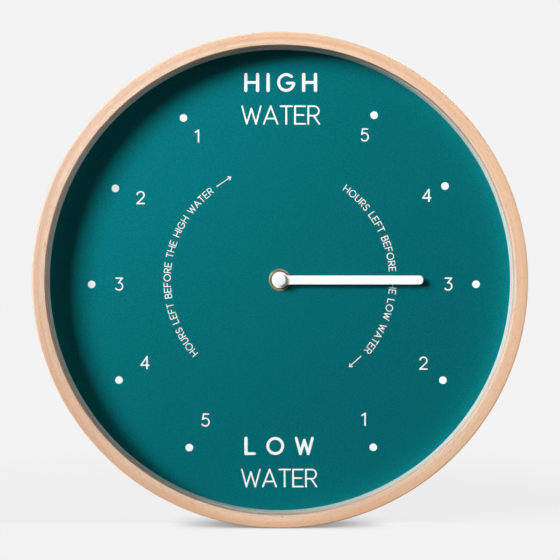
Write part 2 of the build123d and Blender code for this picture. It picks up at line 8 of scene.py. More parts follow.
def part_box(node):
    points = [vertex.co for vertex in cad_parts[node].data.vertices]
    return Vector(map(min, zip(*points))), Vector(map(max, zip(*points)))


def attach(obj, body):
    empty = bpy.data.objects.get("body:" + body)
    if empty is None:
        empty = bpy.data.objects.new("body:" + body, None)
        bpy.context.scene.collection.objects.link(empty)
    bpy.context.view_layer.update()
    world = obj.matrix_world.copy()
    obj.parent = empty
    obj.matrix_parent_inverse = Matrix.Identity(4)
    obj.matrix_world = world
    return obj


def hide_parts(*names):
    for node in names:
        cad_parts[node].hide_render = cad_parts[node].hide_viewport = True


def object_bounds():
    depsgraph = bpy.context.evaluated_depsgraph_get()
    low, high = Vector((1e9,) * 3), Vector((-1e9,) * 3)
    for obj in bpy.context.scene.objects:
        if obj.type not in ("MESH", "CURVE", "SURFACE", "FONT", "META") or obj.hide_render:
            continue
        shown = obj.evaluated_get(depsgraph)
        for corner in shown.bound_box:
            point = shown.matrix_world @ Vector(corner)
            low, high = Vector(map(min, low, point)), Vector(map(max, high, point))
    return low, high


# Tide clock, dressed over its CAD frame. Units are metres. The dial faces -Y, and +Z is up.

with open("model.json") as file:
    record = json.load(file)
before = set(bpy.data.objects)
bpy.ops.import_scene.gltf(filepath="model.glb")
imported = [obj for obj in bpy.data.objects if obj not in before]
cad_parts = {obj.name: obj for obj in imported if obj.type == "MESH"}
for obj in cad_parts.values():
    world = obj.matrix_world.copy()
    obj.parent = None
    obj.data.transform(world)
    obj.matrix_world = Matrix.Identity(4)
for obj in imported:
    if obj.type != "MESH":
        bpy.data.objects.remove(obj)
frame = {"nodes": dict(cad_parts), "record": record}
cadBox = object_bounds()
bpy.ops.object.select_all(action="DESELECT")
print("frame loaded:", len(frame["nodes"]), "nodes")

mm = 0.001
bodies = frame["record"]["behaviour"]["bodies"]
bodyOf = {node: body for body, nodes in bodies.items() for node in nodes}
slotOf = {part["node"]: part["material_slot"] for part in frame["record"]["subparts"]}


# Camera, floor and lamps.

# The camera looks level at the arbor. Its distance gives the photograph's size of hoop and dial.
view = {"distance": 0.915, "lens": 92.64, "pale": "#F3F3F3"}


def fromHex(code):
    channels = [int(code[i:i + 2], 16) / 255 for i in (1, 3, 5)]
    return (*(c / 12.92 if c <= 0.04045 else ((c + 0.055) / 1.055) ** 2.4 for c in channels), 1.0)


# Links sources to a node's inputs. A node stands for its first output that is in use.
def linkInputs(tree, node, links):
    for key, source in links.items():
        if isinstance(source, bpy.types.Node):
            source = next(output for output in source.outputs if output.enabled)
        tree.links.new(source, node.inputs[key])


# Adds one node: settings are inputs or properties by name or number, links are sources by input.
# A colour is given as hex.
def addNode(tree, kind, settings=None, links=None):
    node = tree.nodes.new(kind)
    for key, value in (settings or {}).items():
        if isinstance(key, str) and hasattr(node, key):
            setattr(node, key, value)
        else:
            node.inputs[key].default_value = fromHex(value) if isinstance(value, str) else value
    linkInputs(tree, node, links or {})
    return node


bpy.ops.object.camera_add(location=(0, -view["distance"], 0), rotation=(math.radians(90), 0, 0))
camera = bpy.context.active_object
camera.data.lens = view["lens"]
bpy.context.scene.camera = camera
bpy.context.scene.view_settings.view_transform = "Standard"

# Each lamp: where it stands, its size, its power, the point it is aimed at and how wide it throws, in
# degrees. The key stands far to the left and a little above, which gives the rim's broad soft shadow
# on the dial. It points high and to the right, so that its light falls off towards the lower left.
lamps = {
    "keySoftbox": {"place": (-2.78, -2.92, 1.60), "size": 1.85, "watts": 71.0,
                   "aim": (0.55, -0.50, 1.10), "throw": 60.0},
    "frontFill": {"place": (1.90, -0.24, 0.15), "size": 0.40, "watts": 7.5},
    "rightFill": {"place": (1.60, 0.15, 0.20), "size": 0.90, "watts": 12.0},
    "topFill": {"place": (0.10, 0.15, 1.70), "size": 1.00, "watts": 4.0},
    "rearSoftbox": {"place": (0.60, 1.50, 0.80), "size": 0.90, "watts": 14.0},
}
for name, lamp in lamps.items():
    place = Vector(lamp["place"])
    aim = (Vector(lamp.get("aim", (0, 0, 0))) - place).to_track_quat("-Z", "Y").to_euler()
    bpy.ops.object.light_add(type="AREA", location=place, rotation=aim)
    softbox = bpy.context.active_object
    softbox.name = name
    softbox.data.size = lamp["size"]
    softbox.data.energy = lamp["watts"]
    softbox.data.spread = math.radians(lamp.get("throw", 180.0))
    softbox.visible_camera = False


# Tells the eye's own rays, straight or through glass, from those of the light.
def eyeRays(tree):
    rays = addNode(tree, "ShaderNodeLightPath")
    seen = addNode(tree, "ShaderNodeMath", {"operation": "MAXIMUM"},
                   {0: rays.outputs["Is Camera Ray"], 1: rays.outputs["Is Transmission Ray"]})
    return rays, seen


# The room is a dim grey that fills the shadows, a little lighter behind the dial. What the eye, glass and
# metal see of it is pale, apart from the side in front of the dial, where such a studio is dark and gloss
# shows little. Each range maps a direction along Y, from -1 to 1, to a share or a strength.
studio = {"gloss": {"From Min": -0.75, "From Max": -0.10, "To Min": 0.03},
          "fill": {"From Min": 0.0, "From Max": 0.35, "To Min": 0.06, "To Max": 0.28}}
world = bpy.data.worlds.new("studio")
bpy.context.scene.world = world
world.use_nodes = True
room = world.node_tree
room.nodes.clear()
rays, seen = eyeRays(room)
toward = addNode(room, "ShaderNodeTexCoord")
toward = addNode(room, "ShaderNodeSeparateXYZ", {}, {0: toward.outputs["Generated"]})
behind = addNode(room, "ShaderNodeMapRange", studio["gloss"], {"Value": toward.outputs["Y"]})
glossed = addNode(room, "ShaderNodeMath", {"operation": "MULTIPLY"},
                  {0: rays.outputs["Is Glossy Ray"], 1: behind})
seen = addNode(room, "ShaderNodeMath", {"operation": "MAXIMUM"}, {0: seen, 1: glossed})
around = addNode(room, "ShaderNodeMapRange", studio["fill"], {"Value": toward.outputs["Y"]})
fill = addNode(room, "ShaderNodeBackground", {"Color": "#FFFFFF"}, {"Strength": around})
pale = addNode(room, "ShaderNodeBackground", {"Color": view["pale"], "Strength": 1.0})
both = addNode(room, "ShaderNodeMixShader", {}, {0: seen, 1: fill, 2: pale})
addNode(room, "ShaderNodeOutputWorld", {}, {"Surface": both})

# A wide pale floor, on which the hoop stands. The eye sees it as pale as the room, with painted shade in
# the crevice under the hoop, where ambient occlusion dims its glow, and near the hoop a part of the real cast
# shadow shows. Its bounce is kept weak, so that the shade inside the rim stays deep. The first range maps
# the distance from the middle, and the others the place along Y.
ground = {"radius": 6.0, "gap": 0.00002, "matt": "#C4C4C4", "bounce": ("#686868", "#A0A0A0"),
          "near": {"From Min": 0.20, "From Max": 0.40, "To Min": 0.89},
          "before": {"From Min": -0.024, "From Max": -0.006, "To Min": 1.0, "To Max": 0.0},
          "studioSide": {"From Min": -0.10, "From Max": -0.05},
          "crevice": {"From Min": -0.024, "From Max": -0.016, "To Min": 0.72, "To Max": 0.36},
          "creviceReach": 0.017, "creviceCurve": 2.5}
bpy.ops.mesh.primitive_circle_add(vertices=96, radius=ground["radius"], fill_type="NGON",
                                  location=(0, 0, cadBox[0].z - ground["gap"]))
floor = bpy.context.active_object
floor.name = "studioFloor"
card = bpy.data.materials.new("paleBackgroundPaper")
card.use_nodes = True
paper = card.node_tree
paper.nodes.clear()
place = addNode(paper, "ShaderNodeTexCoord").outputs["Object"]
sides = addNode(paper, "ShaderNodeSeparateXYZ", {}, {0: place})
distance = addNode(paper, "ShaderNodeVectorMath", {"operation": "LENGTH"}, {0: place})
near = addNode(paper, "ShaderNodeMapRange", ground["near"], {"Value": distance})
rays, seen = eyeRays(paper)
seen = addNode(paper, "ShaderNodeMath", {"operation": "MAXIMUM"}, {0: seen, 1: rays.outputs["Is Glossy Ray"]})
before = addNode(paper, "ShaderNodeMapRange", ground["before"], {"Value": sides.outputs["Y"]})
plain = addNode(paper, "ShaderNodeMath", {"operation": "MAXIMUM"}, {0: near, 1: before})
share = addNode(paper, "ShaderNodeMath", {"operation": "MULTIPLY"}, {0: seen, 1: plain})
studioSide = addNode(paper, "ShaderNodeMapRange", ground["studioSide"], {"Value": sides.outputs["Y"]})
bounce = addNode(paper, "ShaderNodeMix",
                 {"data_type": "RGBA", 6: ground["bounce"][0], 7: ground["bounce"][1]}, {0: studioSide})
tone = addNode(paper, "ShaderNodeMix", {"data_type": "RGBA", 7: ground["matt"]}, {0: seen, 6: bounce})
matt = addNode(paper, "ShaderNodeBsdfDiffuse", {}, {"Color": tone})
# Painted shade: ambient occlusion dims the floor's glow under the hoop.
crevice = addNode(paper, "ShaderNodeAmbientOcclusion", {"Distance": ground["creviceReach"], "samples": 8})
closed = addNode(paper, "ShaderNodeMath", {"operation": "SUBTRACT", 0: 1.0}, {1: crevice.outputs["AO"]})
closed = addNode(paper, "ShaderNodeMath", {"operation": "POWER", 1: ground["creviceCurve"]}, {0: closed})
shade = addNode(paper, "ShaderNodeMapRange", ground["crevice"], {"Value": sides.outputs["Y"]})
shade = addNode(paper, "ShaderNodeMath", {"operation": "MULTIPLY"}, {0: closed, 1: shade})
clear = addNode(paper, "ShaderNodeMath", {"operation": "SUBTRACT", 0: 1.0}, {1: shade})
dim = addNode(paper, "ShaderNodeMix", {"data_type": "FLOAT", 2: 1.0},
              {0: rays.outputs["Is Glossy Ray"], 3: studioSide})
strength = addNode(paper, "ShaderNodeMath", {"operation": "MULTIPLY"}, {0: clear, 1: dim})
glow = addNode(paper, "ShaderNodeEmission", {"Color": view["pale"]}, {"Strength": strength})
both = addNode(paper, "ShaderNodeMixShader", {}, {0: share, 1: matt, 2: glow})
addNode(paper, "ShaderNodeOutputMaterial", {}, {"Surface": both})
floor.data.materials.append(card)
print("camera, floor and lamps are set")


# Finishes.

# Starts a finish from the real material's colour, gloss and metal. Gives the material, its tree, its
# shader and the place on the object.
def newFinish(name, colour, roughness, metallic=0.0):
    material = bpy.data.materials.new(name)
    material.use_nodes = True
    tree = material.node_tree
    shader = tree.nodes["Principled BSDF"]
    shader.inputs["Base Color"].default_value = fromHex(colour)
    shader.inputs["Roughness"].default_value = roughness
    shader.inputs["Metallic"].default_value = metallic
    return material, tree, shader, addNode(tree, "ShaderNodeTexCoord").outputs["Object"]


# Splits a place into its sides, and gives its part across the arbor's line and how long that part is.
def fromArbor(tree, place):
    split = addNode(tree, "ShaderNodeSeparateXYZ", {}, {0: place})
    flat = addNode(tree, "ShaderNodeCombineXYZ", {}, {"X": split.outputs["X"], "Z": split.outputs["Z"]})
    radius = addNode(tree, "ShaderNodeVectorMath", {"operation": "LENGTH"}, {0: flat})
    return split, flat, radius


# Gives a surface its fine unevenness: a noise of a real grain size that moves gloss and height.
def addGrain(tree, shader, place, grainMm, heightMm, dull, bright):
    noise = addNode(tree, "ShaderNodeTexNoise", {"Scale": 1 / (grainMm * mm), "Detail": 3.0},
                    {"Vector": place})
    gloss = addNode(tree, "ShaderNodeMapRange",
                    {"From Min": 0.3, "From Max": 0.7, "To Min": bright, "To Max": dull}, {"Value": noise})
    bump = addNode(tree, "ShaderNodeBump", {"Strength": 0.6, "Distance": heightMm * mm}, {"Height": noise})
    linkInputs(tree, shader, {"Roughness": gloss, "Normal": bump})
    return noise


# Lets a pattern move a surface's colour between two tones, and also its roughness between two values
# and its height by a strength and a distance in millimetres, where these are given.
def showPattern(tree, shader, pattern, tones, rough=None, height=None):
    tone = addNode(tree, "ShaderNodeMix", {"data_type": "RGBA", 6: tones[0], 7: tones[1]}, {0: pattern})
    linkInputs(tree, shader, {"Base Color": tone})
    if rough:
        gloss = addNode(tree, "ShaderNodeMapRange", {"To Min": rough[0], "To Max": rough[1]},
                        {"Value": pattern})
        linkInputs(tree, shader, {"Roughness": gloss})
    if height:
        bump = addNode(tree, "ShaderNodeBump", {"Strength": height[0], "Distance": height[1] * mm},
                       {"Height": pattern})
        linkInputs(tree, shader, {"Normal": bump})


# A whole finish whose grain shows in gloss, height and colour.
def makeGrained(name, colour, roughness, tones, metallic=0.0, **grain):
    material, tree, shader, place = newFinish(name, colour, roughness, metallic)
    noise = addGrain(tree, shader, place, **grain)
    showPattern(tree, shader, noise, tones)
    return material


# Steam-bent beech under clear oil: warm pale tan, fine lines that run round the hoop, broader bands
# of tone, the short dark flecks that mark beech, a darker, warmer band towards the hoop's outside, and a
# painted highlight: the upper left side, which faces the key lamp, is painted paler. Grains are given as
# length and width, and the outer band's edge as depths under the hoop's outside, all in millimetres.
wood = {"lines": (14.0, 0.5), "bands": (90.0, 2.6), "flecks": (3.0, 0.45), "outerBandFrom": 5.6, "outerBandTo": 3.8,
        "line": "#CFA68A", "lineShare": 0.62, "fleck": "#BC8A66", "fleckShare": 0.5,
        "inner": ("#D5B095", "#E0C3A9"), "innerPaintedLight": ("#DCBBA2", "#E9CEB7"),
        "outer": ("#D2A682", "#DDB796"), "outerPaintedLight": ("#D6B097", "#E3C3AC"),
        "paintedLightSide": (-0.906, 0.0, 0.423), "paintedLight": {"From Min": 0.50, "From Max": 0.95}}


def makeBeech():
    material, tree, shader, place = newFinish("oiledBeech", "#E6C1A3", 0.48)
    split, flat, radius = fromArbor(tree, place)
    outward = addNode(tree, "ShaderNodeVectorMath", {"operation": "NORMALIZE"}, {0: flat})

    # A noise whose cells are as long round the hoop, and as wide across it, as the grain is.
    def grain(lengthMm, widthMm, detail):
        along = addNode(tree, "ShaderNodeVectorMath",
                        {"operation": "SCALE", "Scale": cadBox[1].x / (lengthMm * mm)}, {0: outward})
        across = addNode(tree, "ShaderNodeMath", {"operation": "DIVIDE", 1: widthMm * mm}, {0: radius})
        across = addNode(tree, "ShaderNodeCombineXYZ", {}, {"Y": across})
        both = addNode(tree, "ShaderNodeVectorMath", {"operation": "ADD"}, {0: along, 1: across})
        depth = addNode(tree, "ShaderNodeMath", {"operation": "DIVIDE", 1: widthMm * mm},
                        {0: split.outputs["Y"]})
        return addNode(tree, "ShaderNodeTexNoise", {"noise_dimensions": "4D", "Scale": 1.0, "Detail": detail},
                       {"Vector": both, "W": depth})

    lines = grain(*wood["lines"], 3.0)
    bands = grain(*wood["bands"], 1.0)
    flecks = grain(*wood["flecks"], 0.0)
    line = addNode(tree, "ShaderNodeMapRange", {"From Min": 0.38, "From Max": 0.66}, {"Value": lines})
    line = addNode(tree, "ShaderNodeMath", {"operation": "MULTIPLY", 1: wood["lineShare"]}, {0: line})
    tone = addNode(tree, "ShaderNodeMapRange", {"From Min": 0.35, "From Max": 0.65}, {"Value": bands})
    fleck = addNode(tree, "ShaderNodeMapRange",
                    {"From Min": 0.64, "From Max": 0.70, "To Max": wood["fleckShare"]}, {"Value": flecks})
    # Painted highlight: the side of the hoop that faces the key lamp is painted paler.
    paintedLight = addNode(tree, "ShaderNodeVectorMath", {"operation": "DOT_PRODUCT", 1: wood["paintedLightSide"]},
                  {0: outward})
    paintedLight = addNode(tree, "ShaderNodeMapRange", wood["paintedLight"], {"Value": paintedLight})
    outerBand = addNode(tree, "ShaderNodeMapRange",
                    {"From Min": cadBox[1].x - wood["outerBandFrom"] * mm,
                     "From Max": cadBox[1].x - wood["outerBandTo"] * mm}, {"Value": radius})
    woods = [addNode(tree, "ShaderNodeMix", {"data_type": "RGBA", 6: wood[kind][0], 7: wood[kind][1]},
                     {0: tone}) for kind in ("inner", "innerPaintedLight", "outer", "outerPaintedLight")]
    inner = addNode(tree, "ShaderNodeMix", {"data_type": "RGBA"}, {0: paintedLight, 6: woods[0], 7: woods[1]})
    outer = addNode(tree, "ShaderNodeMix", {"data_type": "RGBA"}, {0: paintedLight, 6: woods[2], 7: woods[3]})
    colour = addNode(tree, "ShaderNodeMix", {"data_type": "RGBA"}, {0: outerBand, 6: inner, 7: outer})
    colour = addNode(tree, "ShaderNodeMix", {"data_type": "RGBA", 7: wood["line"]}, {0: line, 6: colour})
    colour = addNode(tree, "ShaderNodeMix", {"data_type": "RGBA", 7: wood["fleck"]}, {0: fleck, 6: colour})
    gloss = addNode(tree, "ShaderNodeMapRange", {"To Min": 0.42, "To Max": 0.58}, {"Value": lines})
    bump = addNode(tree, "ShaderNodeBump", {"Strength": 0.25, "Distance": 0.04 * mm}, {"Height": lines})
    linkInputs(tree, shader, {"Base Color": colour, "Roughness": gloss, "Normal": bump})
    return material


# Thin float glass: almost unseen from the front, with a faint clear sheen and a green cut edge.
pane = {"body": "#22312D", "edge": "#8FBFB0", "edgeWidth": 0.4, "edgeFull": 0.1, "clear": 0.02,
        "edgeOpacity": 0.55}


def makeGlass():
    material, tree, shader, place = newFinish("floatGlass", pane["body"], 0.02)
    shader.inputs["IOR"].default_value = 1.5
    smear = addNode(tree, "ShaderNodeTexNoise", {"Scale": 1 / (30 * mm), "Detail": 2.0}, {"Vector": place})
    haze = addNode(tree, "ShaderNodeMapRange", {"To Min": 0.015, "To Max": 0.045}, {"Value": smear})
    radius = fromArbor(tree, place)[2]
    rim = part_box("front_glass")[1].x
    inside = rim - pane["edgeWidth"] * mm
    edge = addNode(tree, "ShaderNodeMapRange", {"From Min": inside, "From Max": rim - pane["edgeFull"] * mm,
                                                "To Min": pane["clear"], "To Max": pane["edgeOpacity"]},
                   {"Value": radius})
    green = addNode(tree, "ShaderNodeMapRange", {"From Min": inside, "From Max": rim}, {"Value": radius})
    tint = addNode(tree, "ShaderNodeMix", {"data_type": "RGBA", 6: pane["body"], 7: pane["edge"]}, {0: green})
    linkInputs(tree, shader, {"Roughness": haze, "Alpha": edge, "Base Color": tint})
    return material


# Satin enamel in deep teal, sprayed on sheet metal. Most of what shows is fine mica, which
# gives a teal sheen towards the light. The mica is drawn coarser than it is, so that it shows.
def makeTealPaint():
    material, tree, shader, place = newFinish("tealSatinPaint", "#067F87", 0.48, 0.68)
    shader.inputs["Specular IOR Level"].default_value = 0.03
    mica = addNode(tree, "ShaderNodeTexNoise", {"Scale": 1 / (0.6 * mm), "Detail": 2.0, "Roughness": 0.7},
                   {"Vector": place})
    glint = addNode(tree, "ShaderNodeMapRange", {"From Min": 0.32, "From Max": 0.68}, {"Value": mica})
    showPattern(tree, shader, glint, ("#04747B", "#088B93"), rough=(0.52, 0.42))
    bump = addNode(tree, "ShaderNodeBump", {"Strength": 0.5, "Distance": 0.02 * mm}, {"Height": mica})
    linkInputs(tree, shader, {"Normal": bump})
    return material


# Brass turned on a lathe: warm yellow, with fine rings round its axis and a brown tinge in the grooves.
def makeTurnedBrass():
    material, tree, shader, place = newFinish("turnedBrass", "#C79A5B", 0.3, 1.0)
    split, _, radius = fromArbor(tree, place)
    place = addNode(tree, "ShaderNodeCombineXYZ", {}, {"X": radius, "Y": split.outputs["Y"]})
    rings = addNode(tree, "ShaderNodeTexNoise", {"Scale": 1 / (0.25 * mm), "Detail": 2.0}, {"Vector": place})
    showPattern(tree, shader, rings, ("#B48344", "#D9B272"), rough=(0.22, 0.42), height=(0.5, 0.02))
    return material


# The washer's dish is painted dark for the shade of the hub and cap, and its rim pale for a highlight.
# The rim's edge is given as depths under the washer's outside, in millimetres.
washer = {"rimFrom": 1.1, "rimTo": 0.4}


def makeWasherBrass():
    material, tree, shader, place = newFinish("washerPaintedShadeAndHighlight", "#8A7F66", 0.6, 0.7)
    radius = fromArbor(tree, place)[2]
    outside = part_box("front_washer")[1].x
    rim = addNode(tree, "ShaderNodeMapRange", {"From Min": outside - washer["rimFrom"] * mm,
                                               "From Max": outside - washer["rimTo"] * mm}, {"Value": radius})
    dishMottle = addNode(tree, "ShaderNodeTexNoise", {"Scale": 1 / (0.8 * mm), "Detail": 3.0}, {"Vector": place})
    # Painted shade: the dish's dark browns stand for the shade of the hub and cap over it.
    dish = addNode(tree, "ShaderNodeMix", {"data_type": "RGBA", 6: "#6A5F49", 7: "#94886C"}, {0: dishMottle})
    # Painted highlight: the pale colour on the raised rim.
    colour = addNode(tree, "ShaderNodeMix", {"data_type": "RGBA", 7: "#DAD6BE"}, {0: rim, 6: dish})
    gloss = addNode(tree, "ShaderNodeMapRange", {"To Min": 0.5, "To Max": 0.25}, {"Value": rim})
    linkInputs(tree, shader, {"Base Color": colour, "Roughness": gloss})
    return material


metreBand = 0.314  # the scale at which a wave texture repeats once a metre


# The neck is the same brass with a cut thread of 0.75 mm pitch, which its bump and tone draw.
def makeThreadedBrass():
    material, tree, shader, place = newFinish("threadedBrass", "#C79A5B", 0.32, 1.0)
    wave = addNode(tree, "ShaderNodeTexWave", {"bands_direction": "Y", "Scale": metreBand / (0.75 * mm)},
                   {"Vector": place})
    showPattern(tree, shader, wave.outputs["Fac"], ("#8F6A38", "#D2A869"), height=(0.9, 0.2))
    return material


# Pressed steel with bright zinc plate: cool grey, the soft cloud of the plating bath, fine scuffs.
def makeZincSteel():
    material, tree, shader, place = newFinish("zincPlatedSteel", "#B9BEC4", 0.34, 1.0)
    noise = addGrain(tree, shader, place, grainMm=0.7, heightMm=0.008, dull=0.46, bright=0.28)
    cloud = addNode(tree, "ShaderNodeTexNoise", {"Scale": 1 / (6 * mm), "Detail": 2.0}, {"Vector": place})
    both = addNode(tree, "ShaderNodeMath", {"operation": "MULTIPLY"}, {0: noise, 1: cloud})
    reach = addNode(tree, "ShaderNodeMapRange", {"From Min": 0.15, "From Max": 0.4}, {"Value": both})
    showPattern(tree, shader, reach, ("#A4A9AE", "#CDD1D5"))
    return material


# Tempered hardboard: brown pressed fibres, lighter strands in a darker ground, hardly any sheen.
def makeHardboard():
    material, tree, shader, place = newFinish("temperedHardboard", "#8C6746", 0.72)
    noise = addGrain(tree, shader, place, grainMm=0.5, heightMm=0.04, dull=0.80, bright=0.62)
    strands = addNode(tree, "ShaderNodeMapping", {"Scale": (1 / (5 * mm), 1 / (1 * mm), 1 / (0.6 * mm)),
                                                  "Rotation": (0, math.radians(28), 0)}, {"Vector": place})
    strand = addNode(tree, "ShaderNodeTexNoise", {"Scale": 1.0, "Detail": 4.0, "Distortion": 1.2},
                     {"Vector": strands})
    colour = addNode(tree, "ShaderNodeMix", {"data_type": "RGBA", 6: "#6E4C30", 7: "#A98460"}, {0: strand})
    fibre = addNode(tree, "ShaderNodeMapRange", {"From Min": 0.55, "From Max": 0.75, "To Max": 0.5},
                    {"Value": noise})
    colour = addNode(tree, "ShaderNodeMix", {"data_type": "RGBA", 7: "#BE9B78"}, {0: fibre, 6: colour})
    linkInputs(tree, shader, {"Base Color": colour})
    return material


# Electrical steel of the yoke: bluish grey, with straight rolling marks.
def makeCoreSteel():
    material, tree, shader, place = newFinish("electricalSteel", "#8D9299", 0.4, 1.0)
    rolled = addNode(tree, "ShaderNodeMapping", {"Scale": (1 / (6 * mm), 1 / (0.2 * mm), 1 / (0.12 * mm))},
                     {"Vector": place})
    marks = addNode(tree, "ShaderNodeTexNoise", {"Scale": 1.0, "Detail": 2.0}, {"Vector": rolled})
    showPattern(tree, shader, marks, ("#7C828A", "#A0A5AB"), rough=(0.32, 0.5))
    return material


# Enamelled copper wire, wound along X. The wire is drawn three times as thick as it is, so that the
# turns show as ridges.
def makeCopperWire():
    material, tree, shader, place = newFinish("enamelledCopper", "#B5622F", 0.3, 1.0)
    turns = addNode(tree, "ShaderNodeTexWave", {"Distortion": 0.4, "Scale": metreBand / (0.12 * mm)},
                    {"Vector": place})
    showPattern(tree, shader, turns.outputs["Fac"], ("#6F3316", "#CF7A42"), height=(0.9, 0.05))
    return material


# Glass-epoxy laminate under green lacquer, with the weave of the cloth just showing through.
def makeLaminate():
    material, tree, shader, place = newFinish("lacqueredLaminate", "#1F6B3A", 0.28)
    weave = addNode(tree, "ShaderNodeTexChecker",
                    {"Scale": 1 / (0.5 * mm), "Color1": "#1B6235", "Color2": "#25764A"}, {"Vector": place})
    noise = addNode(tree, "ShaderNodeTexNoise", {"Scale": 1 / (2 * mm)}, {"Vector": place})
    gloss = addNode(tree, "ShaderNodeMapRange", {"To Min": 0.2, "To Max": 0.36}, {"Value": noise})
    linkInputs(tree, shader, {"Base Color": weave, "Roughness": gloss})
    return material


# Black epoxy that was dropped on the chip and set: glossy, slightly rippled.
def makeEpoxy():
    material, tree, shader, place = newFinish("blackEpoxy", "#0E0E10", 0.15)
    addGrain(tree, shader, place, grainMm=1.2, heightMm=0.05, dull=0.22, bright=0.1)
    return material


# Shrunk plastic jacket of a plain cell: silver grey with a dark band at the positive end and a dark
# line before it.
jacket = {"silver": "#B4B9BE", "dark": "#4B555E", "band": 12.0, "line": 13.5, "lineHalf": 0.5}


def makeCellJacket():
    material, tree, shader, place = newFinish("cellJacket", "#A7ACB1", 0.3, 0.35)
    addGrain(tree, shader, place, grainMm=1.4, heightMm=0.01, dull=0.36, bright=0.26)
    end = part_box("battery")[1].x
    split = addNode(tree, "ShaderNodeSeparateXYZ", {}, {0: place})
    band = addNode(tree, "ShaderNodeMath", {"operation": "GREATER_THAN", 1: end - jacket["band"] * mm},
                   {0: split})
    line = addNode(tree, "ShaderNodeMath", {"operation": "COMPARE", 1: end - jacket["line"] * mm,
                                            2: jacket["lineHalf"] * mm}, {0: split})
    colour = addNode(tree, "ShaderNodeMix", {"data_type": "RGBA", 6: jacket["silver"], 7: jacket["dark"]},
                     {0: band})
    colour = addNode(tree, "ShaderNodeMix", {"data_type": "RGBA", 7: jacket["dark"]}, {0: line, 6: colour})
    linkInputs(tree, shader, {"Base Color": colour})
    return material


beech = makeBeech()
glass = makeGlass()
tealPaint = makeTealPaint()
turnedBrass = makeTurnedBrass()
threadedBrass = makeThreadedBrass()
washerBrass = makeWasherBrass()
zincSteel = makeZincSteel()
hardboard = makeHardboard()
coreSteel = makeCoreSteel()
copperWire = makeCopperWire()
laminate = makeLaminate()
epoxy = makeEpoxy()
cellJacket = makeCellJacket()

# Grey-white board stock, cut into a ring: dead matt, with the faint cloud of paper fibres.
liningCard = makeGrained("liningBoard", "#C9C8C3", 0.85, ("#C2C2BD", "#D1D0CB"),
                         grainMm=0.35, heightMm=0.02, dull=0.92, bright=0.78)

# Screen-printed ink: opaque off-white, a little chalky, with the mesh of the screen just felt.
ink = makeGrained("screenPrintInk", "#EEFAFA", 0.55, ("#E9F7F7", "#F3FDFD"),
                  grainMm=0.3, heightMm=0.004, dull=0.62, bright=0.50)

# Powder-fine white enamel on the sheet metal hand: bright, satin, slightly softened at its edges.
whiteEnamel = makeGrained("whiteEnamel", "#F9FAF9", 0.38, ("#F6F8F7", "#FCFDFC"),
                          grainMm=0.6, heightMm=0.006, dull=0.42, bright=0.33)

# Injection-moulded white ABS: smooth and glossy, a touch warmer than the paint round it.
whiteAbs = makeGrained("whiteAbs", "#F4F4F1", 0.25, ("#F0F0EC", "#F7F7F5"),
                       grainMm=0.8, heightMm=0.003, dull=0.30, bright=0.20)

# Black ABS moulded against a spark-eroded tool: near black, an even fine grain that breaks up light.
blackAbs = makeGrained("texturedBlackAbs", "#1B1C1E", 0.55, ("#151618", "#232427"),
                       grainMm=0.28, heightMm=0.03, dull=0.66, bright=0.48)

# Nitrile rubber washer: soft black, matt, faintly dusty.
rubber = makeGrained("nitrileRubber", "#1A1A1B", 0.8, ("#141415", "#252526"),
                     grainMm=0.4, heightMm=0.02, dull=0.9, bright=0.72)

# Natural acetal, the resin of small gears: milky cream, waxy, with flow marks from the gate.
acetal = makeGrained("naturalAcetal", "#E6E1D0", 0.4, ("#DDD7C4", "#ECE8DA"),
                     grainMm=1.5, heightMm=0.004, dull=0.46, bright=0.34)
acetal.node_tree.nodes["Principled BSDF"].inputs["Subsurface Weight"].default_value = 0.1

# Bonded ferrite of the rotor: charcoal, grainy like fine cast stone.
ferrite = makeGrained("bondedFerrite", "#34353A", 0.6, ("#2A2B2F", "#424349"),
                      grainMm=0.12, heightMm=0.02, dull=0.7, bright=0.5)

# Nickel plate on spring steel and on the can of the crystal: warm silver, faintly brushed.
nickel = makeGrained("nickelPlate", "#C6C2B8", 0.24, ("#BAB6AB", "#D3D0C8"), metallic=1.0,
                     grainMm=0.5, heightMm=0.004, dull=0.32, bright=0.18)
print("finishes are made:", len(bpy.data.materials))


# Modelling helpers.

def leaveEdit():
    if bpy.context.object and bpy.context.object.mode == "EDIT":
        bpy.ops.object.mode_set(mode="OBJECT")


def activate(*pieces):
    leaveEdit()
    bpy.ops.object.select_all(action="DESELECT")
    for piece in pieces:
        piece.select_set(True)
    bpy.context.view_layer.objects.active = pieces[0]


# Selects the faces, edges or vertices whose middle (and normal, for faces) pass a test, for edit mode.
def pick(piece, kind, test):
    activate(piece)
    mesh = piece.data
    modes = {"vertices": (True, False, False), "edges": (False, True, False), "faces": (False, False, True)}
    bpy.context.tool_settings.mesh_select_mode = modes[kind]
    for group in (mesh.vertices, mesh.edges, mesh.polygons):
        group.foreach_set("select", [False] * len(group))
    if kind == "vertices":
        for vertex in mesh.vertices:
            vertex.select = test(vertex.co)
    elif kind == "edges":
        for edge in mesh.edges:
            ends = [mesh.vertices[i].co for i in edge.vertices]
            edge.select = test((ends[0] + ends[1]) / 2)
    else:
        for face in mesh.polygons:
            face.select = test(face.center, face.normal)
    bpy.ops.object.mode_set(mode="EDIT")


# Extrudes what is selected and moves it.
def pushOut(x, y=0):
    bpy.ops.mesh.extrude_region_move(TRANSFORM_OT_translate={"value": (x, y, 0)})


def giveFinish(piece, material):
    piece.data.materials.clear()
    piece.data.materials.append(material)


# Puts a piece's place into its mesh, smooths it, and ties it to its body and its node.
def finishPiece(piece, name, material, node, smooth=40, body=None, slot=None):
    activate(piece)
    bpy.ops.object.transform_apply()
    bpy.ops.object.shade_smooth_by_angle(angle=math.radians(smooth))
    flats = piece.modifiers.new("evenFlats", "WEIGHTED_NORMAL")  # wide flats take the light as flats
    flats.keep_sharp = True
    bpy.ops.object.modifier_apply(modifier=flats.name)
    piece.name = name
    piece.data.name = name
    giveFinish(piece, material)
    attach(piece, body or bodyOf[node])
    slot or slotOf[node]
    if node:
        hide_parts(node)
    bpy.ops.object.select_all(action="DESELECT")


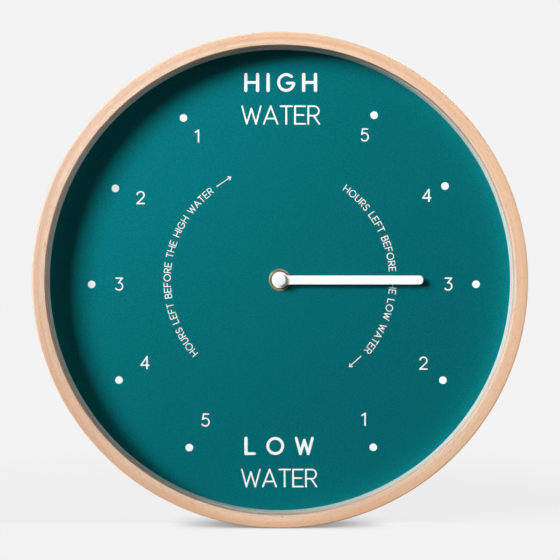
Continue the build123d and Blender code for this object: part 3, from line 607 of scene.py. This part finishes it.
# Adds a flat section in the XY plane, from its inner to its outer side and from its front to its back.
def addSection(inner, outer, front, back):
    bpy.ops.mesh.primitive_plane_add(size=1, location=((outer + inner) / 2, (front + back) / 2, 0))
    section = bpy.context.active_object
    section.scale = (outer - inner, back - front, 1)
    bpy.ops.object.transform_apply()
    return section


# Turns a section beside the Y axis into a closed ring round that axis.
def spinSection(section, steps):
    activate(section)
    bpy.ops.object.mode_set(mode="EDIT")
    bpy.ops.mesh.select_all(action="SELECT")
    bpy.ops.mesh.delete(type="ONLY_FACE")
    bpy.ops.mesh.select_all(action="SELECT")
    bpy.ops.mesh.spin(steps=steps, dupli=False, angle=math.radians(360), center=(0, 0, 0), axis=(0, 1, 0))
    bpy.ops.mesh.select_all(action="SELECT")
    bpy.ops.mesh.remove_doubles(threshold=0.005 * mm)
    bpy.ops.mesh.normals_make_consistent(inside=False)


# A copy of a CAD node with its loose triangles joined and its sharp edges rounded a little.
def softenNode(node, name, material, edgeMm, segments=2):
    activate(frame["nodes"][node])
    bpy.ops.object.duplicate()
    piece = bpy.context.active_object
    bpy.ops.object.mode_set(mode="EDIT")
    bpy.ops.mesh.select_all(action="SELECT")
    bpy.ops.mesh.remove_doubles(threshold=0.001 * mm)
    bpy.ops.mesh.dissolve_limited(angle_limit=math.radians(0.5))
    leaveEdit()
    edge = piece.modifiers.new("softEdge", "BEVEL")
    edge.width = edgeMm * mm
    edge.segments = segments
    edge.limit_method = "ANGLE"
    edge.angle_limit = math.radians(40)
    bpy.ops.object.modifier_apply(modifier=edge.name)
    finishPiece(piece, name, material, node, smooth=35)


# Wooden hoop.

# One bent strip with a lip that holds the glass. Its edges are only broken, not rounded over. The lip
# and the wall are as thick as in the CAD.
hoop = {"lip": 7.9, "wall": 5.5, "frontRound": 1.1, "lipRound": 0.4, "backRound": 0.9, "innerRound": 0.35,
        "steps": 240}

lowCorner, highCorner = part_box("wood_hoop")
outerRadius = highCorner.x
hoopFront = lowCorner.y
hoopBack = highCorner.y
lipInside = outerRadius - hoop["lip"] * mm
wallInside = outerRadius - hoop["wall"] * mm
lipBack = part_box("front_glass")[0].y

woodHoop = addSection(wallInside, outerRadius, hoopFront, hoopBack)
pick(woodHoop, "faces", lambda middle, normal: True)
bpy.ops.mesh.bisect(plane_co=(0, lipBack, 0), plane_no=(0, 1, 0))
pick(woodHoop, "edges", lambda middle: abs(middle.x - wallInside) < 0.01 * mm and middle.y < lipBack)
pushOut(lipInside - wallInside)
rounds = [
    (outerRadius, hoopFront, hoop["frontRound"], 6),
    (lipInside, hoopFront, hoop["lipRound"], 3),
    (outerRadius, hoopBack, hoop["backRound"], 3),
    (wallInside, hoopBack, hoop["innerRound"], 2),
    (lipInside, lipBack, hoop["innerRound"], 2),
]
for x, y, radius, segments in rounds:
    pick(woodHoop, "vertices", lambda place: (place - Vector((x, y, 0))).length < 0.01 * mm)
    bpy.ops.mesh.bevel(offset=radius * mm, segments=segments, affect="VERTICES", profile=0.5)
pick(woodHoop, "faces", lambda middle, normal: True)
bpy.ops.mesh.dissolve_faces()
spinSection(woodHoop, hoop["steps"])
finishPiece(woodHoop, "woodHoop", beech, "wood_hoop")
print("hoop is turned:", len(woodHoop.data.polygons), "faces")


# Lining ring and glass.

ring = {"edgeRound": 0.25, "steps": 180}
liningLow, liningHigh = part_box("lining_ring")
liningRing = addSection(lipInside, liningHigh.x, liningLow.y, liningHigh.y)
pick(liningRing, "vertices", lambda place: True)
bpy.ops.mesh.bevel(offset=ring["edgeRound"] * mm, segments=2, affect="VERTICES")
spinSection(liningRing, ring["steps"])
finishPiece(liningRing, "liningRing", liningCard, "lining_ring")

softenNode("front_glass", "frontGlass", glass, 0.3)
print("lining and glass are in")


# Dial and its print.

giveFinish(frame["nodes"]["dial_plate"], tealPaint)
giveFinish(frame["nodes"]["dial_board"], hardboard)

# Places are millimetres right of and above the arbor, as a printer's drawing gives them. The pen goes
# round curves in steps of bowStep degrees, is set down afresh past a turn of corner degrees, and swells
# from nothing at the ends of a stroke.
dialPrint = {
    "proud": 0.03,
    "pen": {"bowStep": 15, "corner": 35, "swell": (8, 30, 55)},
    "dotRadius": 2.35,
    "dots": [
        (-59.6, 100.1), (-101.7, 56.6), (-116.3, -2.7), (-99.4, -61.8), (-56.0, -103.5),
        (58.1, 101.8), (101.9, 58.0), (121.1, -2.6), (100.6, -61.9), (57.6, -103.3),
    ],
    "numerals": {"height": 8.3, "stroke": 0.95},
    "numeralPlaces": [
        ("1", -51.3, 88.9), ("2", -86.1, 50.9), ("3", -99.4, -2.5), ("4", -83.4, -51.0), ("5", -46.0, -86.5),
        ("5", 52.3, 89.6), ("4", 90.7, 52.3), ("3", 103.9, -2.5), ("2", 88.6, -51.3), ("1", 51.6, -86.0),
    ],
    "headings": [
        {"words": "HIGH", "x": 0.4, "z": 122.0, "height": 11.8, "stroke": 2.0, "length": 45.0},
        {"words": "WATER", "x": 0.4, "z": 101.9, "height": 12.0, "stroke": 1.1, "length": 48.8},
        {"words": "LOW", "x": -0.5, "z": -102.5, "height": 11.4, "stroke": 2.0, "length": 43.0},
        {"words": "WATER", "x": -0.5, "z": -122.3, "height": 11.6, "stroke": 1.1, "length": 47.2},
    ],
    "legendRadius": 69.7,
    "legendHeight": 4.6,
    "legendStroke": 0.56,
    "legends": [
        {"words": "HOURS LEFT BEFORE THE HIGH WATER", "from": 221.6, "to": 126.9},
        {"words": "HOURS LEFT BEFORE THE LOW WATER", "from": 55.2, "to": -39.9},
    ],
    "arrows": [((-39.0, 57.8), (-30.4, 63.6)), ((50.0, -47.1), (42.8, -53.5))],
    "arrowHead": {"length": 2.0, "turns": (-38, 38)},
}


# Points of a bow round a middle, for the round parts of letters.
def bow(x, z, wide, tall, first, last):
    steps = max(2, round(abs(last - first) / dialPrint["pen"]["bowStep"]))
    turns = [math.radians(first + (last - first) * step / steps) for step in range(steps + 1)]
    return [(x + wide * math.cos(turn), z + tall * math.sin(turn)) for turn in turns]


# Each letter is drawn with a round pen of one width: how wide it is and its strokes, as shares of its
# height.
letters = {
    " ": (0.30, []),
    "A": (0.78, [[(0, 0), (0.39, 1), (0.78, 0)], [(0.12, 0.30), (0.66, 0.30)]]),
    "B": (0.60, [[(0, 0), (0, 1), *bow(0.32, 0.76, 0.24, 0.24, 90, -90), (0, 0.52)],
                 [(0.32, 0.52), *bow(0.34, 0.26, 0.26, 0.26, 90, -90), (0, 0)]]),
    "E": (0.58, [[(0.58, 1), (0, 1), (0, 0), (0.58, 0)], [(0, 0.5), (0.48, 0.5)]]),
    "F": (0.56, [[(0.56, 1), (0, 1), (0, 0)], [(0, 0.5), (0.46, 0.5)]]),
    "G": (0.92, [[*bow(0.48, 0.5, 0.48, 0.5, 48, 352), (0.92, 0.46), (0.56, 0.46)]]),
    "H": (0.74, [[(0, 0), (0, 1)], [(0.74, 0), (0.74, 1)], [(0, 0.5), (0.74, 0.5)]]),
    "I": (0.0, [[(0, 0), (0, 1)]]),
    "L": (0.54, [[(0, 1), (0, 0), (0.54, 0)]]),
    "O": (0.98, [bow(0.49, 0.5, 0.49, 0.5, 90, 450)]),
    "R": (0.62, [[(0, 0), (0, 1), *bow(0.33, 0.73, 0.27, 0.27, 90, -90), (0, 0.46)],
                 [(0.30, 0.46), (0.62, 0)]]),
    "S": (0.56, [[*bow(0.28, 0.745, 0.25, 0.255, 32, 270), *bow(0.28, 0.245, 0.28, 0.245, 75, -148)]]),
    "T": (0.64, [[(0, 1), (0.64, 1)], [(0.32, 1), (0.32, 0)]]),
    "U": (0.68, [[(0, 1), *bow(0.34, 0.34, 0.34, 0.34, 180, 360), (0.68, 1)]]),
    "W": (1.06, [[(0, 1), (0.27, 0), (0.53, 0.86), (0.79, 0), (1.06, 1)]]),
    "1": (0.26, [[(0, 0.82), (0.26, 1), (0.26, 0)]]),
    "2": (0.60, [[*bow(0.30, 0.70, 0.29, 0.30, 165, -32), (0, 0), (0.60, 0)]]),
    "3": (0.60, [[(0.05, 1), (0.57, 1), (0.26, 0.60), *bow(0.29, 0.31, 0.31, 0.31, 84, -145)]]),
    "4": (0.66, [[(0.50, 0), (0.50, 1), (0, 0.28), (0.66, 0.28)]]),
    "5": (0.60, [[(0.55, 1), (0.13, 1), (0.06, 0.56), *bow(0.29, 0.33, 0.31, 0.33, 128, -145)]]),
}

pen = bpy.data.curves.new("dialPrinting", "CURVE")
pen.dimensions = "3D"
pen.bevel_depth = mm
pen.bevel_resolution = 1
pen.use_fill_caps = True


# Cuts a line of points at its sharp corners, where the pen is set down afresh.
def penRuns(points):
    runs = [[points[0]]]
    for before, here, after in zip(points, points[1:], points[2:]):
        runs[-1].append(here)
        if (here - before).angle(after - here) > math.radians(dialPrint["pen"]["corner"]):
            runs.append([here])
    runs[-1].append(points[-1])
    return runs


# One stroke of the pen, in millimetres. Its width swells from nothing at each end, which rounds it.
def drawStroke(points, width):
    for run in penRuns([Vector(point) for point in points]):
        start = (run[0] - run[1]).normalized()
        end = (run[-1] - run[-2]).normalized()
        swell = [(math.cos(turn), math.sin(turn)) for turn in map(math.radians, dialPrint["pen"]["swell"])]
        line = [(run[0] + start * width / 2 * reach, share) for reach, share in swell]
        line += [(point, 1.0) for point in run]
        line += [(run[-1] + end * width / 2 * reach, share) for reach, share in reversed(swell)]
        stroke = pen.splines.new("POLY")
        stroke.points.add(len(line) - 1)
        for knot, (point, share) in zip(stroke.points, line):
            knot.co = (point.x * mm, 0, point.y * mm, 1)
            knot.radius = width / 2 * share


# Draws a letter about its middle, turned clockwise by an angle.
def drawLetter(letter, x, z, height, stroke, turn=0.0):
    wide, strokes = letters[letter]
    size = height - stroke
    for points in strokes:
        placed = []
        for across, up in points:
            right = (across - wide / 2) * size
            above = (up - 0.5) * size
            placed.append((x + right * math.cos(turn) + above * math.sin(turn),
                           z - right * math.sin(turn) + above * math.cos(turn)))
        drawStroke(placed, stroke)


# How far along a line each letter's middle lies, with equal gaps that fill the line's length.
def letterPlaces(words, height, stroke, length):
    widths = [letters[letter][0] * (height - stroke) for letter in words]
    gap = (length - stroke - sum(widths)) / (len(words) - 1)
    reached = stroke / 2
    for letter, wide in zip(words, widths):
        yield letter, reached + wide / 2
        reached += wide + gap


for numeral, x, z in dialPrint["numeralPlaces"]:
    drawLetter(numeral, x, z, **dialPrint["numerals"])
for line in dialPrint["headings"]:
    for letter, along in letterPlaces(line["words"], line["height"], line["stroke"], line["length"]):
        drawLetter(letter, line["x"] - line["length"] / 2 + along, line["z"], line["height"], line["stroke"])
radius, height, stroke = (dialPrint[key] for key in ("legendRadius", "legendHeight", "legendStroke"))
for legend in dialPrint["legends"]:
    length = radius * math.radians(legend["from"] - legend["to"])
    for letter, along in letterPlaces(legend["words"], height, stroke, length):
        angle = math.radians(legend["from"]) - along / radius
        drawLetter(letter, radius * math.cos(angle), radius * math.sin(angle), height, stroke,
                   turn=math.radians(90) - angle)
for start, end in dialPrint["arrows"]:
    drawStroke([start, end], stroke)
    back = (Vector(start) - Vector(end)).normalized() * dialPrint["arrowHead"]["length"]
    for side in dialPrint["arrowHead"]["turns"]:
        barb = back.copy()
        barb.rotate(Matrix.Rotation(math.radians(side), 2))
        drawStroke([end, Vector(end) + barb], stroke)

dialPrinting = bpy.data.objects.new("dialPrinting", pen)
bpy.context.scene.collection.objects.link(dialPrinting)
activate(dialPrinting)
bpy.ops.object.convert(target="MESH")
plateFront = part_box("dial_plate")[0].y
dialPrinting.location = (0, plateFront, 0)
dialPrinting.scale = (1, dialPrint["proud"], 1)  # the ink lies as a low crown on the paint
bpy.ops.object.transform_apply()

dots = []
for x, z in dialPrint["dots"]:
    bpy.ops.mesh.primitive_cylinder_add(vertices=40, radius=dialPrint["dotRadius"] * mm,
                                        depth=2 * dialPrint["proud"] * mm, rotation=(math.radians(90), 0, 0),
                                        location=(x * mm, plateFront, z * mm))
    bpy.ops.object.transform_apply()
    dots.append(bpy.context.active_object)
activate(dialPrinting, *dots)
bpy.ops.object.join()
finishPiece(dialPrinting, "dialPrinting", ink, None, body="clock", slot="white_paint")
print("dial is printed:", len(dialPrinting.data.polygons), "faces")


# Hand and hub.

softenNode("tide_hand", "tideHand", whiteEnamel, 0.22, 3)
softenNode("hand_collet", "handCollet", turnedBrass, 0.12)
softenNode("front_washer", "frontWasher", washerBrass, 0.12, 3)
softenNode("hex_nut", "hexNut", turnedBrass, 0.25)
softenNode("threaded_neck", "threadedNeck", threadedBrass, 0.15)
giveFinish(frame["nodes"]["rubber_washer"], rubber)

# A low domed button with a soft edge, on a peg that is pressed into the hand's pipe. The dome is stepped
# in from the edge: how far in, and how much higher.
cap = {"edgeRound": 0.9, "crown": 0.25, "dome": ((0.7, 0.12), (0.7, 0.08), (0.6, 0.05)), "pegRadius": 1.5}
capLow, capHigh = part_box("hand_cap")
topFace = capLow.y + cap["crown"] * mm
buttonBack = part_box("tide_hand")[0].y
bpy.ops.mesh.primitive_cylinder_add(vertices=72, radius=capHigh.x, depth=buttonBack - topFace,
                                    rotation=(math.radians(90), 0, 0),
                                    location=(0, (buttonBack + topFace) / 2, 0))
handCap = bpy.context.active_object
bpy.ops.object.transform_apply()
pick(handCap, "edges", lambda middle: middle.y < topFace + 0.001 * mm)
bpy.ops.mesh.bevel(offset=cap["edgeRound"] * mm, segments=8, affect="EDGES", profile=0.5)
pick(handCap, "faces", lambda middle, normal: normal.y < -0.99 and middle.y < topFace + 0.001 * mm)
for inset, rise in cap["dome"]:
    bpy.ops.mesh.inset(thickness=inset * mm, depth=rise * mm)
pick(handCap, "faces", lambda middle, normal: normal.y > 0.99)
bpy.ops.mesh.inset(thickness=capHigh.x - cap["pegRadius"] * mm)
pushOut(0, capHigh.y - buttonBack)
finishPiece(handCap, "handCap", whiteAbs, "hand_cap")
print("hand and hub are in")


# Back: hanger, brackets and their screws.

softenNode("retaining_brackets", "retainingBrackets", zincSteel, 0.18)
softenNode("hanger_bracket", "hangerBracket", zincSteel, 0.18)

# A pan-head wood screw with a cross recess. It is modelled once, pointing along +X, and copied. No two
# screws are driven to the same turn. The hanger's pair stands a few degrees each side of the top.
screw = {"headRadius": 3.0, "headHeight": 1.8, "headRound": 1.2, "shank": 1.5, "length": 5.0,
         "tip": 1.2, "tipShare": 0.25, "recessLength": 3.4, "recessWidth": 0.75, "recessDepth": 1.1,
         "firstTurn": 17, "nextTurn": 31, "hangerTurn": 5.163, "hangerSeat": 143.07}


def makeScrew():
    bpy.ops.mesh.primitive_cylinder_add(vertices=40, radius=screw["headRadius"] * mm,
                                        depth=screw["headHeight"] * mm, rotation=(0, math.radians(90), 0),
                                        location=(-screw["headHeight"] / 2 * mm, 0, 0))
    body = bpy.context.active_object
    bpy.ops.object.transform_apply()
    outer = -screw["headHeight"] * mm
    pick(body, "edges", lambda middle: middle.x < outer + 0.001 * mm)
    bpy.ops.mesh.bevel(offset=screw["headRound"] * mm, segments=5, affect="EDGES")
    pick(body, "faces", lambda middle, normal: normal.x > 0.99)
    bpy.ops.mesh.inset(thickness=(screw["headRadius"] - screw["shank"]) * mm)
    for reach in (screw["length"] - screw["tip"], screw["tip"]):
        pushOut(reach * mm)
    bpy.ops.transform.resize(value=(1, screw["tipShare"], screw["tipShare"]),
                             center_override=(screw["length"] * mm, 0, 0))
    across = (screw["recessLength"], screw["recessWidth"])
    for wide, tall in (across, across[::-1]):
        leaveEdit()
        bpy.ops.mesh.primitive_cube_add(size=1, location=(outer, 0, 0))
        cutter = bpy.context.active_object
        cutter.scale = (2 * screw["recessDepth"] * mm, wide * mm, tall * mm)
        bpy.ops.object.transform_apply()
        recess = body.modifiers.new("recess", "BOOLEAN")
        recess.object = cutter
        recess.operation = "DIFFERENCE"
        activate(body)
        bpy.ops.object.modifier_apply(modifier=recess.name)
        bpy.data.objects.remove(cutter)
    return body


# Copies the screw to each seat round the hoop and joins the copies into one piece.
def driveScrews(seat, angles, name, node):
    low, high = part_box(node)
    copies = []
    for index, angle in enumerate(angles):
        activate(patternScrew)
        bpy.ops.object.duplicate()
        piece = bpy.context.active_object
        turn = math.radians(screw["firstTurn"] + screw["nextTurn"] * index)
        for turned, moved in (((turn, 0, 0), (0, 0, 0)), ((0, 0, 0), (seat, 0, 0)),
                              ((0, -math.radians(angle), 0), (0, (low.y + high.y) / 2, 0))):
            piece.rotation_euler = turned
            piece.location = moved
            bpy.ops.object.transform_apply()
        copies.append(piece)
    activate(*copies)
    bpy.ops.object.join()
    finishPiece(copies[0], name, zincSteel, node, smooth=35)


patternScrew = makeScrew()
# These screws stand at 45 degrees to the sides, so the box of all four gives how far out they reach.
slope = math.radians(45)
screwReach = (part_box("bracket_screws")[1].x - screw["shank"] * math.sin(slope) * mm) / math.cos(slope)
driveScrews(screwReach - screw["length"] * mm, (45, 135, 225, 315), "bracketScrews", "bracket_screws")
driveScrews(screw["hangerSeat"] * mm, (90 - screw["hangerTurn"], 90 + screw["hangerTurn"]),
            "hangerScrews", "hanger_screws")
bpy.data.objects.remove(patternScrew)
print("hanger, brackets and screws are in")


# Movement.

softenNode("movement_case", "movementCase", blackAbs, 0.25)
softenNode("movement_cover", "movementCover", blackAbs, 0.2)
softenNode("setting_knob", "settingKnob", whiteAbs, 0.12)
softenNode("positive_contact", "positiveContact", nickel, 0.08, 1)
softenNode("negative_contact", "negativeContact", nickel, 0.08, 1)

# A plain cell: rounded can, sunk bare metal ends, raised positive cap.
cell = {"rim": 0.8, "nubRadius": 2.75, "nub": 1.2, "endInset": 1.1, "endSunk": 0.15}
cellLow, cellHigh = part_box("battery")
cellRadius = (cellHigh.z - cellLow.z) / 2
canLength = cellHigh.x - cellLow.x - cell["nub"] * mm
canMiddle = (cellLow.x + canLength / 2, (cellLow.y + cellHigh.y) / 2, (cellLow.z + cellHigh.z) / 2)
canEnd = cellLow.x + canLength
bpy.ops.mesh.primitive_cylinder_add(vertices=72, radius=cellRadius, depth=canLength, location=canMiddle,
                                    rotation=(0, math.radians(90), 0))
battery = bpy.context.active_object
bpy.ops.object.transform_apply()
pick(battery, "edges", lambda middle: min(abs(middle.x - canEnd), abs(middle.x - cellLow.x)) < 0.001 * mm)
bpy.ops.mesh.bevel(offset=cell["rim"] * mm, segments=4, affect="EDGES")
pick(battery, "faces", lambda middle, normal: abs(normal.x) > 0.99)
bpy.ops.mesh.inset(thickness=cell["endInset"] * mm, depth=-cell["endSunk"] * mm, use_individual=True)
pick(battery, "faces", lambda middle, normal: normal.x > 0.99 and abs(middle.x - canEnd) < 0.2 * mm)
bpy.ops.mesh.inset(thickness=cellRadius - (cell["rim"] + cell["endInset"] + cell["nubRadius"]) * mm)
pushOut((cell["nub"] + cell["endSunk"]) * mm)
finishPiece(battery, "battery", cellJacket, "battery")
battery.data.materials.append(nickel)
for face in battery.data.polygons:
    beyond = max(face.center.x - canEnd, cellLow.x - face.center.x)
    if abs(face.normal.x) > 0.8 and beyond > -0.5 * mm or beyond > 0.01 * mm:
        face.material_index = 1

# The rest of the movement keeps its CAD shapes.
gears = ("tide_wheel", "intermediate_wheel", "cannon_pinion", "third_wheel", "fourth_wheel", "fifth_wheel",
         "rotor_pinion")
innards = {**dict.fromkeys(gears, acetal), "centre_wheel": turnedBrass, "rotor_magnet": ferrite,
           "stator": coreSteel, "coil_bobbin": whiteAbs, "coil_winding": copperWire,
           "circuit_board": laminate, "quartz_crystal": nickel, "chip_cover": epoxy}
for node, material in innards.items():
    giveFinish(frame["nodes"][node], material)
print("movement is dressed")
